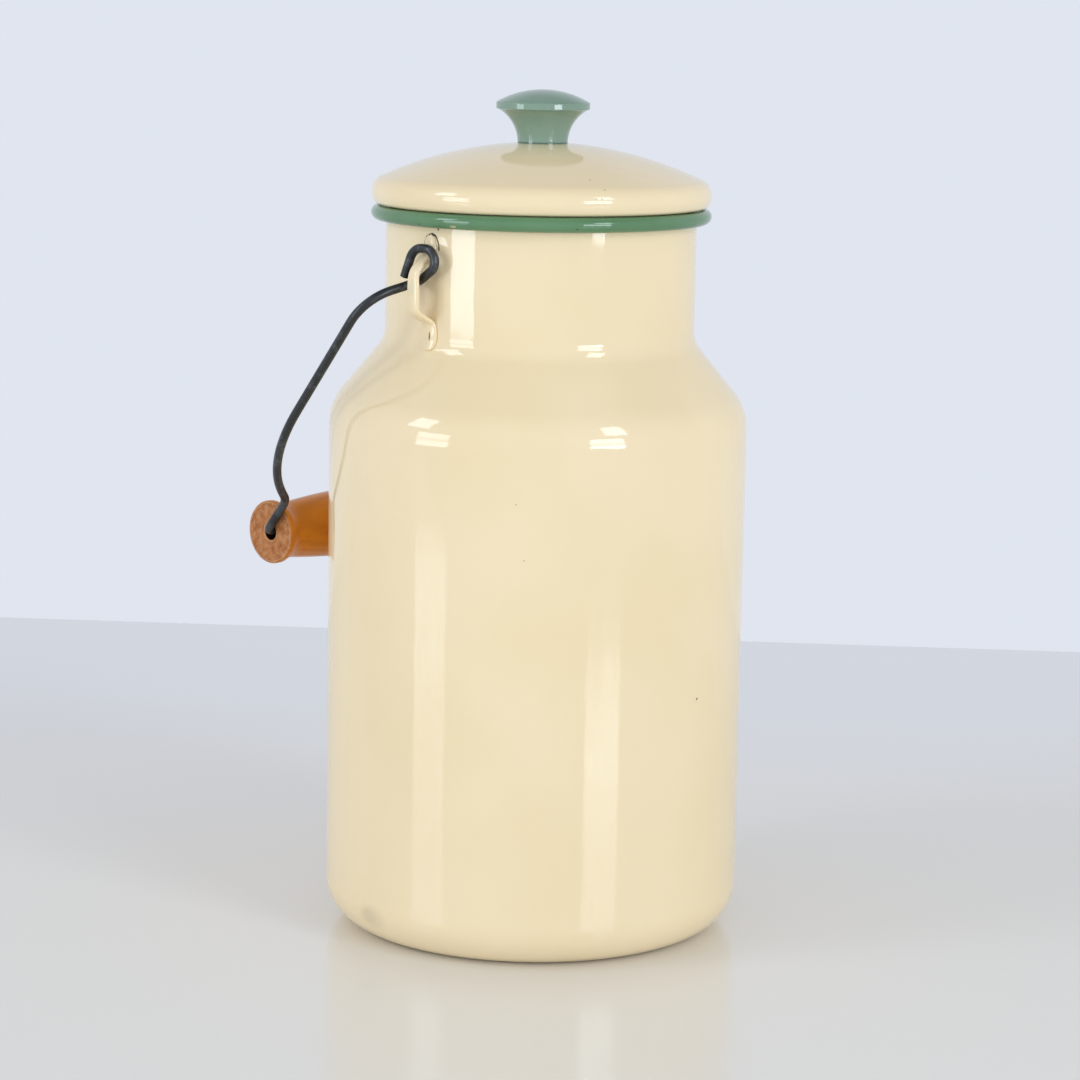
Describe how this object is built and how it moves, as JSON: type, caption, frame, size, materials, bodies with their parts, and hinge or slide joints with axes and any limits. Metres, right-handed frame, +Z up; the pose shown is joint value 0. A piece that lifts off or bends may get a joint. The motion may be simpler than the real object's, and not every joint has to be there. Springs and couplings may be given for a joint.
{
  "type": "enamelled lidded carrying can",
  "caption": "Enamelled steel food and milk carrier: straight-sided can with a shouldered neck, loose domed lid with a knob, and a swinging wire bail with a turned wooden grip.",
  "frame": {"origin": "on the can's axis, on the surface that the can stands on", "axes": "+Z up along the can's axis; +X through the bail's two pivots, from the left ear to the right ear; the bail leans on the can's +Y side at rest"},
  "size_m": [0.1716, 0.1932, 0.3314],
  "materials": {
    "cream_enamel": "glossy vitreous enamel",
    "green_enamel": "glossy vitreous enamel",
    "green_plastic": "glossy moulded",
    "blackened_wire": "blackened, satin",
    "lacquered_wood": "turned and lacquered",
    "plain_steel": "plain",
    "insert_brass": "turned",
    "seal_rubber": "matte"
  },
  "bodies": {
    "can": {"can_body": "cream_enamel", "can_neck": "cream_enamel", "can_bottom": "cream_enamel", "rim_roll": "green_enamel", "rim_wire": "plain_steel", "ear_left": "cream_enamel", "ear_right": "cream_enamel"},
    "lid": {"lid_cover": "cream_enamel", "lid_flange": "cream_enamel", "lid_collar": "cream_enamel", "lid_knob": "green_plastic", "knob_insert": "insert_brass", "knob_screw": "plain_steel", "knob_washer": "plain_steel", "knob_seal": "seal_rubber"},
    "bail": {"bail_wire": "blackened_wire"},
    "grip": {"grip": "lacquered_wood"}
  },
  "joints": [
    {"name": "lid_lift", "type": "slide", "parent": "can", "child": "lid", "axis": [0, 0, 1], "range_m": [0, 0.12]},
    {"name": "bail_swing", "type": "hinge", "parent": "can", "child": "bail", "pos_m": [0, 0, 0.26751], "axis": [1, 0, 0], "range_deg": [0, 280.8]},
    {"name": "grip_spin", "type": "hinge", "parent": "bail", "child": "grip", "pos_m": [0, 0.09675, 0.15054], "axis": [1, 0, 0], "continuous": true}
  ]
}
